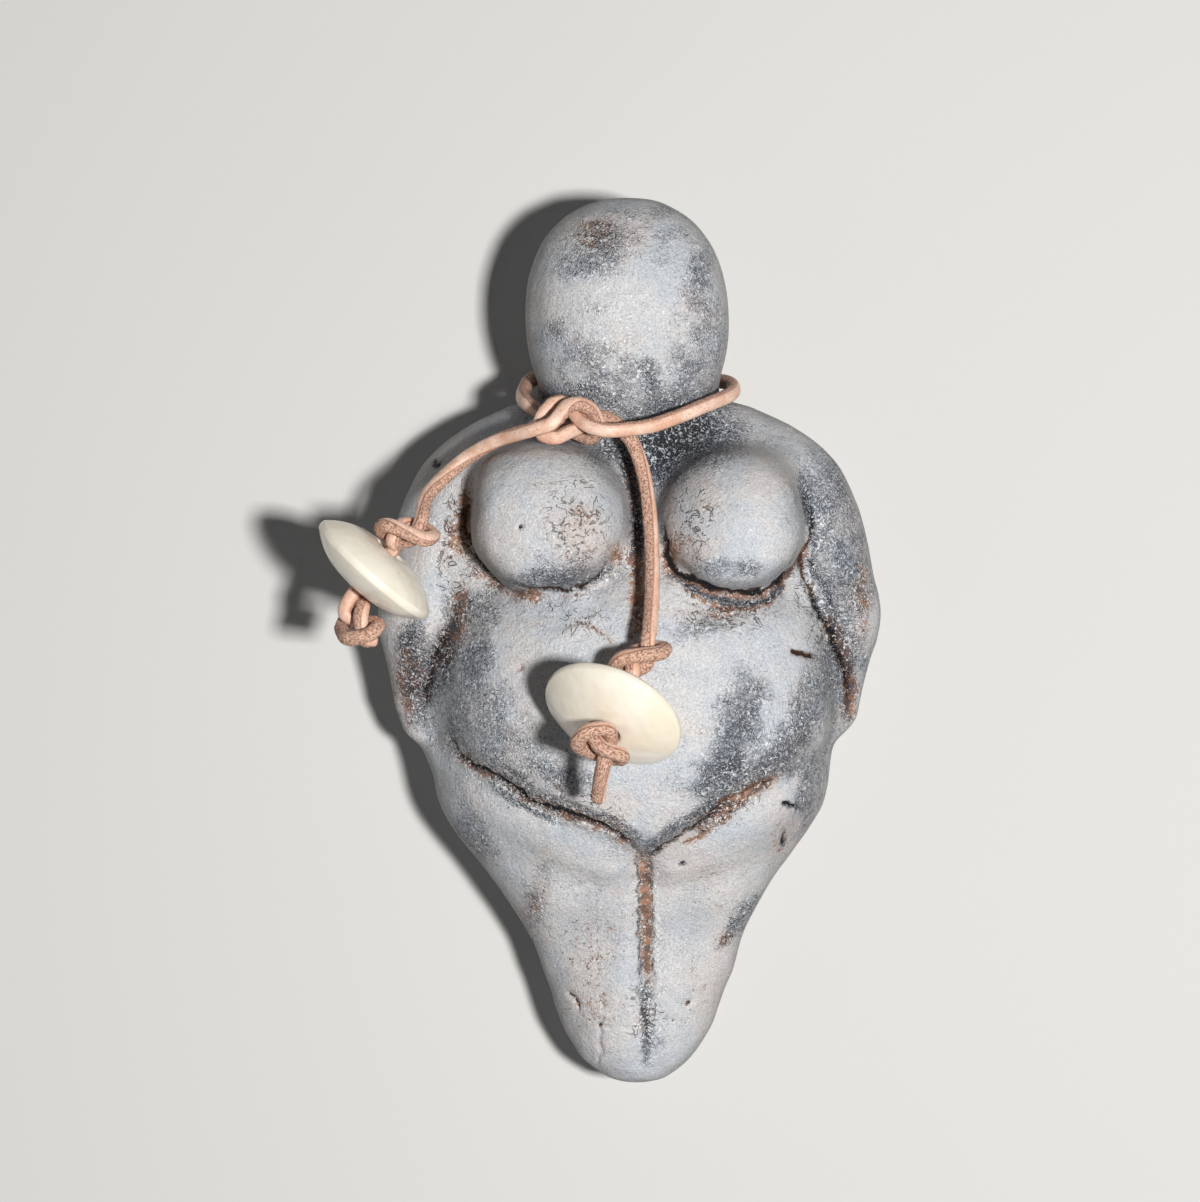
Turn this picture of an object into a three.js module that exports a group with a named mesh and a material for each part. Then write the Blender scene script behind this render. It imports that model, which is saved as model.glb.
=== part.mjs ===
// A small cast figurine of a woman with a blank egg-shaped head, lying on its back,
// with a leather lace knotted round its neck and a lens-shaped bead on each tail.
// Millimetres. +Z is up, +Y points to the head, the origin is on the surface it lies on.
import * as THREE from 'three';

// Driving dimensions
const FIGURE_LENGTH = 88.7; // crown of the head to the tip of the legs
const LACE_DIAMETER = 1.4;
const LACE_SIDES = 8;
const BEAD_DIAMETER = 13.8;
const BEAD_THICKNESS = 5; // from dome to dome
const BEAD_RIM = 0.6; // thickness left at the rim
const BEAD_SIDES = 18;
const BORE_CLEARANCE = 0.9; // round the lace, in a bead's hole
const SEAT_GAP = 0.3; // between pieces that touch
const KNOT_CLEARANCE = 0.25; // between the strands of a tight knot
const BORE_LEAD = 0.5; // the lace runs straight this far past a bead's hole
const SKIN_STEP = 1.82; // size of the facets on the figure

// The figure's forms are shares of its length, written as millimetres of a figure 88.7 long.
const SHARE = FIGURE_LENGTH / 88.7;

// Forms: each gives the distance from a point to its surface, less than zero inside.

// An egg or a rounded block: fullness 2 is an ellipsoid, more is squarer.
function ovoid([cx, cy, cz], [rx, ry, rz], fullness = 2, turn = 0) {
  const cos = Math.cos(turn);
  const sin = Math.sin(turn);
  return (x, y, z) => {
    const a = Math.abs(cos * (x - cx) + sin * (y - cy)) / rx;
    const b = Math.abs(cos * (y - cy) - sin * (x - cx)) / ry;
    const c = Math.abs(z - cz) / rz;
    const sum = Math.max(a ** fullness + b ** fullness + c ** fullness, 1e-6);
    const size = sum ** (1 / fullness);
    const slope = Math.hypot(
      a ** (fullness - 1) / rx, b ** (fullness - 1) / ry, c ** (fullness - 1) / rz);
    return (size - 1) * size ** (fullness - 1) / Math.max(slope, 1e-6);
  };
}

// A limb: a taper with round ends, thinner from front to back where flat is under 1.
function limb([ax, ay, az], [bx, by, bz], ra, rb, flat = 1) {
  const dx = bx - ax;
  const dy = by - ay;
  const dz = (bz - az) / flat;
  const square = dx * dx + dy * dy + dz * dz;
  return (x, y, z) => {
    const px = x - ax;
    const py = y - ay;
    const pz = (z - az) / flat;
    const t = THREE.MathUtils.clamp((px * dx + py * dy + pz * dz) / square, 0, 1);
    const away = Math.hypot(px - t * dx, py - t * dy, pz - t * dz);
    return (away - ra - t * (rb - ra)) * Math.min(1, flat);
  };
}

// Two forms run into each other over a width: wide is soft, narrow is a crease.
function blend(a, b, width) {
  const near = Math.max(width - Math.abs(a - b), 0) / width;
  return Math.min(a, b) - near * near * width / 4;
}

// A groove drawn on the front along a line of points [x, y], deepest on the line.
function groove(line, width, depth) {
  return (x, y) => {
    let nearest = Infinity;
    for (let i = 1; i < line.length; i += 1) {
      const [ax, ay] = line[i - 1];
      const dx = line[i][0] - ax;
      const dy = line[i][1] - ay;
      const along = ((x - ax) * dx + (y - ay) * dy) / (dx * dx + dy * dy);
      const t = THREE.MathUtils.clamp(along, 0, 1);
      nearest = Math.min(nearest, Math.hypot(x - ax - t * dx, y - ay - t * dy));
    }
    return depth * Math.exp(-((nearest / width) ** 2));
  };
}

// A breast hangs over a crease below and runs softly into the chest above.
function hanging(y) {
  return THREE.MathUtils.lerp(0.8, 3.6, THREE.MathUtils.smoothstep(y, 9, 19));
}

// The figure: forms and the width over which each runs into what came before it.
const BODY_FORMS = [
  [ovoid([0, 5, 10.5], [24, 20.2, 8.9], 2.5), 3], // shoulders and upper arms
  [ovoid([0.3, -12, 10], [19.2, 12.3, 9.6], 2.2), 4], // hips
  [ovoid([-8.3, -9.5, 8], [9.6, 10.5, 8.5]), 4], // buttocks
  [ovoid([9.1, -9.5, 8], [9.6, 10.5, 8.5]), 4],
  [ovoid([-8.5, 13, 7.4], [9, 9, 7.8]), 4], // shoulder blades
  [ovoid([8.5, 13, 7.4], [9, 9, 7.8]), 4],
  [limb([0.8, -14, 11], [0.8, -32, 9], 9, 5.4), 3], // thighs, grown together
  [limb([-9.6, -13.8, 11.3], [-4.2, -29.5, 9.3], 9, 5, 0.95), 3],
  [limb([10.1, -13.6, 11.3], [5.7, -29.5, 9.3], 8.6, 5, 0.95), 3],
  [ovoid([0.75, -33.2, 9], [8.6, 11.1, 6.6]), 1.5], // lower legs
  [limb([-3.5, -31, 9.3], [-0.4, -39.5, 8.8], 5, 3.5, 0.95), 2],
  [limb([5.5, -31, 9.3], [1.9, -39.5, 8.8], 5, 3.5, 0.95), 2],
  [limb([-14.4, 13.2, 12], [-20.9, 2.6, 12], 6.4, 3.85, 1.1), 3], // arms
  [limb([-20.9, 2.6, 12], [-21.2, -7.4, 10.6], 3.85, 2.4, 1.2), 1.5],
  [limb([14.6, 13.4, 12], [20.9, 3, 12], 6.6, 3.8, 1.1), 3],
  [limb([20.9, 3, 12], [20.6, -7.4, 10.6], 3.8, 2.3, 1.2), 1.5],
  [ovoid([0.9, -5.6, 14], [19.4, 18.6, 12], 2.15), 1.5], // belly
  [limb([0.3, 26, 9.8], [0.3, 14, 9.8], 6.4, 7), 2.5], // neck
  [ovoid([-8.5, 11.6, 20.3], [8.6, 8.4, 8]), hanging], // breasts
  [ovoid([10.2, 11.2, 20], [7.8, 8, 7.8]), hanging],
  [ovoid([-0.25, 32.35, 14.2], [10.15, 12, 9.6], 2.25, 0.045), 1.2], // head
];

const FRONT_GROOVES = [
  groove([[-15.6, 7.6], [-12.6, 4.2], [-8.6, 3], [-4.6, 4.2], [-1.2, 7.4]], 1.2, 1), // breasts
  groove([[3.4, 7.6], [6.4, 4.2], [10.2, 3.1], [13.8, 4.2], [16.8, 7.2]], 1.2, 1),
  groove([[-18.2, -9.2], [-13, -14.2], [-7, -17.3], [0.4, -20.7]], 1.3, 0.9), // groin
  groove([[20.5, -10.2], [13.1, -14.4], [7.1, -18.2], [1.8, -20.9]], 1.3, 0.9),
  groove([[1.2, -21], [1.5, -28], [1.9, -35], [2.2, -41.5]], 1.1, 1.1), // between the legs
  groove([[-16, 16.3], [-17.5, 8.3], [-19, 0.3], [-21, -7.7]], 1.2, 0.9), // inside the arms
  groove([[17, 16.3], [17.6, 8.3], [20, 2.3], [21, -3.7], [21.2, -9]], 1.2, 0.9),
];
const BACK_GROOVES = [
  groove([[0.3, 18], [0.3, -1]], 2.6, 1.3), // spine
  groove([[0.4, -5], [0.6, -18]], 2.4, 2), // between the buttocks
  groove([[0.7, -20], [1, -30], [1.2, -38]], 1.7, 0.9), // between the legs
];
const BACK_TO = 7; // grooves on the back fade out between these heights,
const FRONT_FROM = 9; // and those on the front fade in
const FRONT_FULL = 13;

function figure(px, py, pz) {
  const x = px / SHARE;
  const y = py / SHARE;
  const z = pz / SHARE;
  let distance = BODY_FORMS[0][0](x, y, z);
  for (const [form, width] of BODY_FORMS.slice(1)) {
    distance = blend(distance, form(x, y, z), typeof width === 'function' ? width(y) : width);
  }
  const front = THREE.MathUtils.smoothstep(z, FRONT_FROM, FRONT_FULL);
  const back = 1 - THREE.MathUtils.smoothstep(z, BACK_TO, FRONT_FROM);
  for (const cut of front > 0 ? FRONT_GROOVES : []) distance += front * cut(x, y);
  for (const cut of back > 0 ? BACK_GROOVES : []) distance += back * cut(x, y);
  return Math.max(distance, -z) * SHARE; // ground flat where it would go below the surface
}

// The direction in which a field grows fastest, and how fast.
function slopeOf(field, p) {
  const e = 0.02;
  return new THREE.Vector3(
    field(p.x + e, p.y, p.z) - field(p.x - e, p.y, p.z),
    field(p.x, p.y + e, p.z) - field(p.x, p.y - e, p.z),
    field(p.x, p.y, p.z + e) - field(p.x, p.y, p.z - e),
  ).divideScalar(2 * e);
}

// A cube's corners, numbered by their steps along x, y and z, and the pairs that its edges join
const CUBE_CORNERS = [];
const CUBE_EDGES = [];
for (let n = 0; n < 8; n += 1) {
  CUBE_CORNERS.push([n & 1, (n >> 1) & 1, (n >> 2) & 1]);
  for (const bit of [1, 2, 4]) {
    if (!(n & bit)) CUBE_EDGES.push([n, n | bit]);
  }
}

// The closed skin of a field, in facets of about one step. Each cell of a grid that the
// surface crosses holds one corner of the skin for each part of the solid that it cuts.
function skin(field, low, high, step) {
  const size = high.map((top, i) => Math.ceil((top - low[i]) / step) + 1);
  const gridIndex = (i, j, k) => i + size[0] * (j + size[1] * k);
  const place = (i, j, k) => new THREE.Vector3(
    low[0] + i * step, low[1] + j * step, low[2] + k * step);
  const values = new Float64Array(size[0] * size[1] * size[2]);
  for (let k = 0; k < size[2]; k += 1) {
    for (let j = 0; j < size[1]; j += 1) {
      for (let i = 0; i < size[0]; i += 1) {
        const p = place(i, j, k);
        values[gridIndex(i, j, k)] = field(p.x, p.y, p.z);
      }
    }
  }

  const corners = [];
  const cornerOf = new Map();
  for (let k = 0; k < size[2] - 1; k += 1) {
    for (let j = 0; j < size[1] - 1; j += 1) {
      for (let i = 0; i < size[0] - 1; i += 1) {
        const value = CUBE_CORNERS.map(([a, b, c]) => values[gridIndex(i + a, j + b, k + c)]);
        // Corners inside the solid that are joined by edges get the same number.
        const part = [...CUBE_CORNERS.keys()];
        for (let pass = 0; pass < CUBE_CORNERS.length; pass += 1) {
          for (const [a, b] of CUBE_EDGES) {
            if (value[a] < 0 && value[b] < 0) {
              part[a] = part[b] = Math.min(part[a], part[b]);
            }
          }
        }
        const sums = new Map();
        for (const [a, b] of CUBE_EDGES) {
          if ((value[a] < 0) !== (value[b] < 0)) {
            const inside = part[value[a] < 0 ? a : b];
            const t = value[a] / (value[a] - value[b]);
            const from = CUBE_CORNERS[a];
            const to = CUBE_CORNERS[b];
            const point = place(
              i + from[0] + t * (to[0] - from[0]),
              j + from[1] + t * (to[1] - from[1]),
              k + from[2] + t * (to[2] - from[2]));
            if (!sums.has(inside)) sums.set(inside, { total: new THREE.Vector3(), count: 0 });
            sums.get(inside).total.add(point);
            sums.get(inside).count += 1;
          }
        }
        for (const [inside, { total, count }] of sums) {
          const number = corners.length;
          corners.push(total.divideScalar(count));
          for (let n = 0; n < 8; n += 1) {
            if (value[n] < 0 && part[n] === inside) {
              cornerOf.set(gridIndex(i, j, k) * 8 + n, number);
            }
          }
        }
      }
    }
  }

  for (const corner of corners) {
    for (let pass = 0; pass < 3; pass += 1) {
      const slope = slopeOf(field, corner);
      const move = field(corner.x, corner.y, corner.z) / Math.max(slope.lengthSq(), 0.25);
      corner.addScaledVector(slope, THREE.MathUtils.clamp(-move, -step / 3, step / 3));
    }
    if (Math.abs(corner.z) < step / 20) corner.z = 0;
  }

  const triangles = [];
  for (let k = 1; k < size[2] - 1; k += 1) {
    for (let j = 1; j < size[1] - 1; j += 1) {
      for (let i = 1; i < size[0] - 1; i += 1) {
        for (let axis = 0; axis < 3; axis += 1) {
          const near = [i, j, k];
          const far = [i, j, k];
          far[axis] += 1;
          const nearIn = values[gridIndex(...near)] < 0;
          const farIn = values[gridIndex(...far)] < 0;
          if (nearIn !== farIn) {
            const solid = nearIn ? near : far;
            const u = (axis + 1) % 3;
            const v = (axis + 2) % 3;
            const around = [[0, 0], [1, 0], [1, 1], [0, 1]].map(([du, dv]) => {
              const cell = [i, j, k];
              cell[u] -= du;
              cell[v] -= dv;
              const n = solid.reduce((sum, at, d) => sum + ((at - cell[d]) << d), 0);
              return cornerOf.get(gridIndex(...cell) * 8 + n);
            });
            if (!nearIn) around.reverse();
            const [a, b, c, d] = around;
            const acShorter = corners[a].distanceTo(corners[c]) < corners[b].distanceTo(corners[d]);
            if (acShorter) triangles.push(a, b, c, a, c, d);
            else triangles.push(a, b, d, b, c, d);
          }
        }
      }
    }
  }
  const geometry = new THREE.BufferGeometry();
  geometry.setAttribute('position',
    new THREE.Float32BufferAttribute(corners.flatMap((p) => p.toArray()), 3));
  geometry.setIndex(triangles);
  return geometry;
}

// Beads: a lens with a narrow rim and a hole along its axis, turned about local Y.
const BORE_RADIUS = LACE_DIAMETER / 2 + BORE_CLEARANCE;
const DOME_FULLNESS = 3;
const DOME_STEPS = 5;

// Half the thickness of the lens at a distance from its axis.
function domeHeight(radius) {
  const fall = (radius / (BEAD_DIAMETER / 2)) ** DOME_FULLNESS;
  return BEAD_RIM / 2 + (BEAD_THICKNESS - BEAD_RIM) / 2 * (1 - fall);
}

function beadGeometry() {
  const dome = [];
  for (let n = 0; n <= DOME_STEPS; n += 1) {
    const toRim = Math.sin(n / DOME_STEPS * Math.PI / 2); // closer together towards the rim
    const radius = THREE.MathUtils.lerp(BORE_RADIUS, BEAD_DIAMETER / 2, toRim);
    dome.push(new THREE.Vector2(radius, domeHeight(radius)));
  }
  const below = dome.map((point) => new THREE.Vector2(point.x, -point.y));
  const profile = [...below, ...dome.reverse(), below[0].clone()];
  return new THREE.LatheGeometry(profile, BEAD_SIDES);
}

// Where a bead rests: over a point of the figure, as low as the gap to it allows.
function seatBead([x, y], axis) {
  const across = new THREE.Vector3(0, 0, 1).cross(axis).normalize();
  const up = axis.clone().cross(across);
  const centre = new THREE.Vector3(x * SHARE, y * SHARE, 0);
  const isClear = (height) => {
    for (let turn = 0; turn < 48; turn += 1) {
      const angle = turn / 48 * 2 * Math.PI;
      for (const radius of [BEAD_DIAMETER / 2, BEAD_DIAMETER * 0.4, BEAD_DIAMETER * 0.25]) {
        for (const side of [-1, 1]) {
          const p = centre.clone().setZ(height)
            .addScaledVector(across, radius * Math.cos(angle))
            .addScaledVector(up, radius * Math.sin(angle))
            .addScaledVector(axis, side * domeHeight(radius));
          if (figure(p.x, p.y, p.z) < SEAT_GAP) return false;
        }
      }
    }
    return true;
  };
  let above = FIGURE_LENGTH;
  let below = 0;
  while (above - below > 0.01) {
    const middle = (above + below) / 2;
    if (isClear(middle)) above = middle;
    else below = middle;
  }
  return centre.setZ(above);
}

const leftBead = { axis: new THREE.Vector3(-0.66, -0.74, -0.08).normalize() };
const rightBead = { axis: new THREE.Vector3(-0.38, -0.73, 0.57).normalize() };
leftBead.centre = seatBead([-24.9, 7.3], leftBead.axis);
rightBead.centre = seatBead([-1.7, -6.5], rightBead.axis);

// The lace: one route, from the end of the left tail round the neck to the end of the right.

// Half of a snug overhand knot, in strands: along the lace, to the side and up. The other half
// is the same turned half a turn about the last of these, its top.
const KNOT_HALF = [
  [-0.95, -0.1, 0.4], [0.05, -0.5, -0.15], [0.8, 0.2, -0.75], [1.05, 1.1, 0], [0.55, 0.95, 1],
];
const KNOT_TOP = [0, 0, 1.2];
const KNOT_STRAND = LACE_DIAMETER + KNOT_CLEARANCE;

// An overhand knot with the lace going ahead through it. Hand is -1 for its mirror image.
function overhand(centre, ahead, up, hand = 1) {
  const forward = new THREE.Vector3(...ahead).normalize();
  const aside = new THREE.Vector3(...up).cross(forward).normalize();
  const above = forward.clone().cross(aside);
  const otherHalf = KNOT_HALF.map(([a, b, c]) => [-a, -b, c]).reverse();
  return [...KNOT_HALF, KNOT_TOP, ...otherHalf].map(([a, b, c]) => centre.clone()
    .addScaledVector(forward, a * KNOT_STRAND)
    .addScaledVector(aside, b * KNOT_STRAND * hand)
    .addScaledVector(above, c * KNOT_STRAND));
}

const onFigure = (points) => points.map(([x, y, z]) => new THREE.Vector3(x, y, z)
  .multiplyScalar(SHARE));

// A point beside the mouth of a bead's hole: side is 1 where its axis points, else -1.
function fromMouth(bead, side, [x, y, z] = [0, 0, 0]) {
  return bead.centre.clone()
    .addScaledVector(bead.axis, side * (BEAD_THICKNESS / 2 + BORE_LEAD))
    .add(new THREE.Vector3(x, y, z));
}

const leftTail = [
  ...overhand(fromMouth(leftBead, -1, [1.2, 1.4, 0.1]), [-0.78, -0.62, 0], [0, 0, 1], -1),
  fromMouth(leftBead, -1),
  fromMouth(leftBead, 1),
  ...overhand(fromMouth(leftBead, 1, [0.6, -2.85, 0.2]), [0.6, -0.8, 0.1], [-0.8, -0.6, 0]),
  fromMouth(leftBead, 1, [2, -4.6, -0.2]),
];
const rightTail = [
  ...overhand(fromMouth(rightBead, -1, [1.4, 3.1, -0.2]), [-0.4, -1, 0.2], [0, 0, 1], -1),
  fromMouth(rightBead, -1),
  fromMouth(rightBead, 1),
  ...overhand(fromMouth(rightBead, 1, [0.2, -0.6, 2.5]), [0.3, -0.9, 0], [-0.83, 0, -0.55], -1),
  fromMouth(rightBead, 1, [0, -3.6, 1.1]),
  fromMouth(rightBead, 1, [-0.3, -5.9, -1.2]),
];

// From the left shoulder through the knot on the chest to the left side of the neck.
const knotFromLeft = onFigure([
  [-19.9, 14.4, 21.8], [-18.3, 16.3, 20.4], [-16.1, 18.2, 19.9], [-13, 19.9, 21.6],
  [-11, 20.5, 23.2], [-9.3, 20.9, 24.5], [-7.7, 21.4, 24.9], [-6.8, 22.3, 24.7],
  [-6.1, 23.1, 24.4], [-5.1, 23.4, 23.9], [-4.1, 23.1, 23.3], [-3.4, 22.3, 22.5],
  [-3.2, 21.1, 22.1], [-3.9, 20.2, 21.1], [-5.2, 20.7, 20.2], [-6.7, 21.5, 19.6],
  [-8.5, 22.7, 19.4],
]);
// Round the neck, from its left side over the back to its right side.
const roundNeck = onFigure([
  [-9.9, 23.5, 18.2], [-10.6, 24.5, 15], [-10.4, 25.6, 11.8], [-9.8, 26.6, 8.6],
  [-8, 27, 5.2], [-4.4, 26.6, 3.1], [0, 26, 2.1], [4.4, 26.2, 3], [8, 26.6, 5.2],
  [9.8, 26.3, 8.8], [10.4, 25.5, 12.6], [9.8, 24.6, 16.2], [7.5, 23.5, 19.6],
  [4.8, 22.3, 21.7],
]);
// From the right side of the neck through the knot, round the other strand and down.
const knotFromRight = onFigure([
  [2, 21.3, 22.9], [-0.5, 20.9, 23.7], [-2.2, 20.8, 24.1], [-3.7, 21.1, 23.9],
  [-4.8, 21.8, 23.1], [-5.6, 22.7, 22.6], [-6.3, 23.5, 22.4], [-7.4, 23.5, 22.6],
  [-8.4, 22.5, 22.7], [-8.8, 21.4, 22.9], [-8.5, 20.4, 23.5], [-7.3, 20.1, 24],
  [-6.2, 20.6, 23.2], [-5.2, 21.1, 21.9], [-4, 22, 20.7], [-2.6, 22.2, 21.1],
  [-1.2, 21.4, 21.5], [-0.1, 20.2, 21.8], [0.7, 18.6, 21.8], [1.4, 16.2, 22.2],
  [1.9, 12.5, 23.7], [2.1, 8.3, 25.5], [2.05, 4.8, 27.4], [1.85, 1.9, 29.4],
]);

const laceRoute = [
  ...leftTail.reverse(), ...knotFromLeft, ...roundNeck, ...knotFromRight, ...rightTail,
];

// A curve whose even steps fall on its points, so that the knots get short steps.
class RouteCurve extends THREE.CatmullRomCurve3 {
  getPointAt(share, target) {
    return this.getPoint(share, target);
  }

  getTangentAt(share, target) {
    return this.getTangent(share, target);
  }
}

function laceGeometry() {
  const section = new THREE.Shape();
  for (let side = 0; side < LACE_SIDES; side += 1) {
    const angle = side / LACE_SIDES * 2 * Math.PI;
    const x = LACE_DIAMETER / 2 * Math.cos(angle);
    const y = LACE_DIAMETER / 2 * Math.sin(angle);
    if (side === 0) section.moveTo(x, y);
    else section.lineTo(x, y);
  }
  const extrudePath = new RouteCurve(laceRoute, false, 'centripetal');
  return new THREE.ExtrudeGeometry(
    section, { steps: laceRoute.length - 1, extrudePath, bevelEnabled: false });
}

const figurineMaterial = new THREE.MeshStandardMaterial(
  { color: 0xb9bec6, roughness: 0.75, metalness: 0 });
const laceMaterial = new THREE.MeshStandardMaterial(
  { color: 0xc99a7c, roughness: 0.7, metalness: 0 });
const beadMaterial = new THREE.MeshStandardMaterial(
  { color: 0xe9dcc4, roughness: 0.35, metalness: 0 });

const object = new THREE.Group();

function add(name, geometry, material) {
  const mesh = new THREE.Mesh(geometry, material);
  mesh.name = name;
  object.add(mesh);
  return mesh;
}

function addBead(name, bead) {
  const mesh = add(name, beadGeometry(), beadMaterial);
  mesh.position.copy(bead.centre);
  mesh.quaternion.setFromUnitVectors(new THREE.Vector3(0, 1, 0), bead.axis);
}

const SKIN_LOW = [-30 * SHARE, -49 * SHARE, -2.5 * SKIN_STEP];
const SKIN_HIGH = [30 * SHARE, 49 * SHARE, 32 * SHARE];
add('figurine', skin(figure, SKIN_LOW, SKIN_HIGH, SKIN_STEP), figurineMaterial);
add('thong', laceGeometry(), laceMaterial);
addBead('bead_left', leftBead);
addBead('bead_right', rightBead);

export { figure, laceRoute, leftBead, rightBead };
export default object;
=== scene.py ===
import math

import bpy
import numpy as np
from mathutils import Matrix, Vector, noise


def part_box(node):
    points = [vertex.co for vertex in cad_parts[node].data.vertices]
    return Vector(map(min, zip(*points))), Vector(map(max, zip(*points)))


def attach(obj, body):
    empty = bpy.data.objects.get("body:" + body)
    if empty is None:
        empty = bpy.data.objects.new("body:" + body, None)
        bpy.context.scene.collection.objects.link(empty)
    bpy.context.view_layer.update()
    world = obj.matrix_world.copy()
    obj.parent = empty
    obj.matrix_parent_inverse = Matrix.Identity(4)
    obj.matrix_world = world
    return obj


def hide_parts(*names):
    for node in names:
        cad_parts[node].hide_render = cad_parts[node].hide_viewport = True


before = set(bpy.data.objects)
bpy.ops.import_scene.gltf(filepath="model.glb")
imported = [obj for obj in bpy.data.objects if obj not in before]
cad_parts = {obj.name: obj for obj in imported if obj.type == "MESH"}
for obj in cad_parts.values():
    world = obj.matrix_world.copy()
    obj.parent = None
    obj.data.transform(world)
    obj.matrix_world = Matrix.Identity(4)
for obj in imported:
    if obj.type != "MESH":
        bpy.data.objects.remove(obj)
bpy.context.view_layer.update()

MM = 0.001

# The view: straight down on the figure
VIEW_WIDTH = 120.0  # shown across the picture at the height of the figure's outline
OUTLINE_HEIGHT = 12.0
VIEW_DISTANCE = 400.0  # above that height
VIEW_CENTRE = (-2.95, 4.25)
SENSOR = 36.0

# The lace and the beads, as in the part's source
LACE_DIAMETER = 1.4
BEAD_DIAMETER = 13.8
BEAD_THICKNESS = 5.0
BEAD_RIM = 0.6
BORE_CLEARANCE = 0.9
KNOT_CLEARANCE = 0.25
BORE_LEAD = 0.5
BORE_RADIUS = LACE_DIAMETER / 2 + BORE_CLEARANCE
DOME_FULLNESS = 3


# Helpers for meshes

def active(obj):
    bpy.ops.object.select_all(action="DESELECT")
    obj.select_set(True)
    bpy.context.view_layer.objects.active = obj
    return obj


def edit_all(obj, *steps):
    """Runs edit mode operators, given as functions, on the whole mesh."""
    active(obj)
    bpy.ops.object.mode_set(mode="EDIT")
    bpy.ops.mesh.select_all(action="SELECT")
    for step in steps:
        step()
    bpy.ops.object.mode_set(mode="OBJECT")


def finish_modifier(obj, kind, **settings):
    modifier = active(obj).modifiers.new(kind.title(), kind)
    for key, value in settings.items():
        setattr(modifier, key, value)
    bpy.ops.object.modifier_apply(modifier=modifier.name)


def subdivide(obj, levels):
    finish_modifier(obj, "SUBSURF", levels=levels, render_levels=levels)


def mesh_points(obj):
    flat = np.empty(len(obj.data.vertices) * 3, np.float32)
    obj.data.vertices.foreach_get("co", flat)
    return flat.reshape(-1, 3).astype(float)


def mesh_normals(obj):
    flat = np.empty(len(obj.data.vertices) * 3, np.float32)
    obj.data.vertex_normals.foreach_get("vector", flat)
    return flat.reshape(-1, 3).astype(float)


def surface(obj):
    """The places of a mesh's points, in mm, and their normals."""
    return mesh_points(obj) / MM, mesh_normals(obj)


def move_points(obj, points):
    obj.data.vertices.foreach_set("co", points.astype(np.float32).ravel())
    obj.data.update()


def keep_mask(obj, name, values):
    layer = obj.data.attributes.new(name, "FLOAT", "POINT")
    layer.data.foreach_set("value", np.clip(values, 0, 1).astype(np.float32))


def smooth(low, high, value):
    t = np.clip((value - low) / (high - low), 0, 1)
    return t * t * (3 - 2 * t)


# Camera

def make_camera():
    data = bpy.data.cameras.new("camera")
    data.sensor_fit = "HORIZONTAL"
    data.sensor_width = SENSOR
    data.lens = SENSOR * VIEW_DISTANCE / VIEW_WIDTH
    camera = bpy.data.objects.new("camera", data)
    camera.location = Vector((*VIEW_CENTRE, OUTLINE_HEIGHT + VIEW_DISTANCE)) * MM
    bpy.context.scene.collection.objects.link(camera)
    bpy.context.scene.camera = camera


def seen_from_above(points):
    """Where the camera sees each point (in mm), at the height of the figure's outline."""
    shrink = VIEW_DISTANCE / (VIEW_DISTANCE + OUTLINE_HEIGHT - points[:, 2])
    centre = np.array(VIEW_CENTRE)
    return centre + (points[:, :2] - centre) * shrink[:, None]


# The lace's route, point for point as in the part's source

KNOT_HALF = [
    (-0.95, -0.1, 0.4), (0.05, -0.5, -0.15), (0.8, 0.2, -0.75), (1.05, 1.1, 0), (0.55, 0.95, 1),
]
KNOT_TOP = (0, 0, 1.2)
KNOT_STRAND = LACE_DIAMETER + KNOT_CLEARANCE


def bead_centre(node):
    low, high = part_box(node)
    return (Vector(low) + Vector(high)) / 2 / MM


LEFT_AXIS = Vector((-0.66, -0.74, -0.08)).normalized()
RIGHT_AXIS = Vector((-0.38, -0.73, 0.57)).normalized()
LEFT_BEAD = (bead_centre("bead_left"), LEFT_AXIS)
RIGHT_BEAD = (bead_centre("bead_right"), RIGHT_AXIS)


def overhand(centre, ahead, up, hand=1):
    forward = Vector(ahead).normalized()
    aside = Vector(up).cross(forward).normalized()
    above = forward.cross(aside)
    other_half = [(-a, -b, c) for a, b, c in reversed(KNOT_HALF)]
    return [
        centre + KNOT_STRAND * (a * forward + b * hand * aside + c * above)
        for a, b, c in [*KNOT_HALF, KNOT_TOP, *other_half]
    ]


def from_mouth(bead, side, offset=(0, 0, 0)):
    centre, axis = bead
    return centre + axis * side * (BEAD_THICKNESS / 2 + BORE_LEAD) + Vector(offset)


LEFT_TAIL = [
    *overhand(from_mouth(LEFT_BEAD, -1, (1.2, 1.4, 0.1)), (-0.78, -0.62, 0), (0, 0, 1), -1),
    from_mouth(LEFT_BEAD, -1),
    from_mouth(LEFT_BEAD, 1),
    *overhand(from_mouth(LEFT_BEAD, 1, (0.6, -2.85, 0.2)), (0.6, -0.8, 0.1), (-0.8, -0.6, 0)),
    from_mouth(LEFT_BEAD, 1, (2, -4.6, -0.2)),
]
RIGHT_TAIL = [
    *overhand(from_mouth(RIGHT_BEAD, -1, (1.4, 3.1, -0.2)), (-0.4, -1, 0.2), (0, 0, 1), -1),
    from_mouth(RIGHT_BEAD, -1),
    from_mouth(RIGHT_BEAD, 1),
    *overhand(from_mouth(RIGHT_BEAD, 1, (0.2, -0.6, 2.5)), (0.3, -0.9, 0), (-0.83, 0, -0.55), -1),
    from_mouth(RIGHT_BEAD, 1, (0, -3.6, 1.1)),
    from_mouth(RIGHT_BEAD, 1, (-0.3, -5.9, -1.2)),
]
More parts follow.
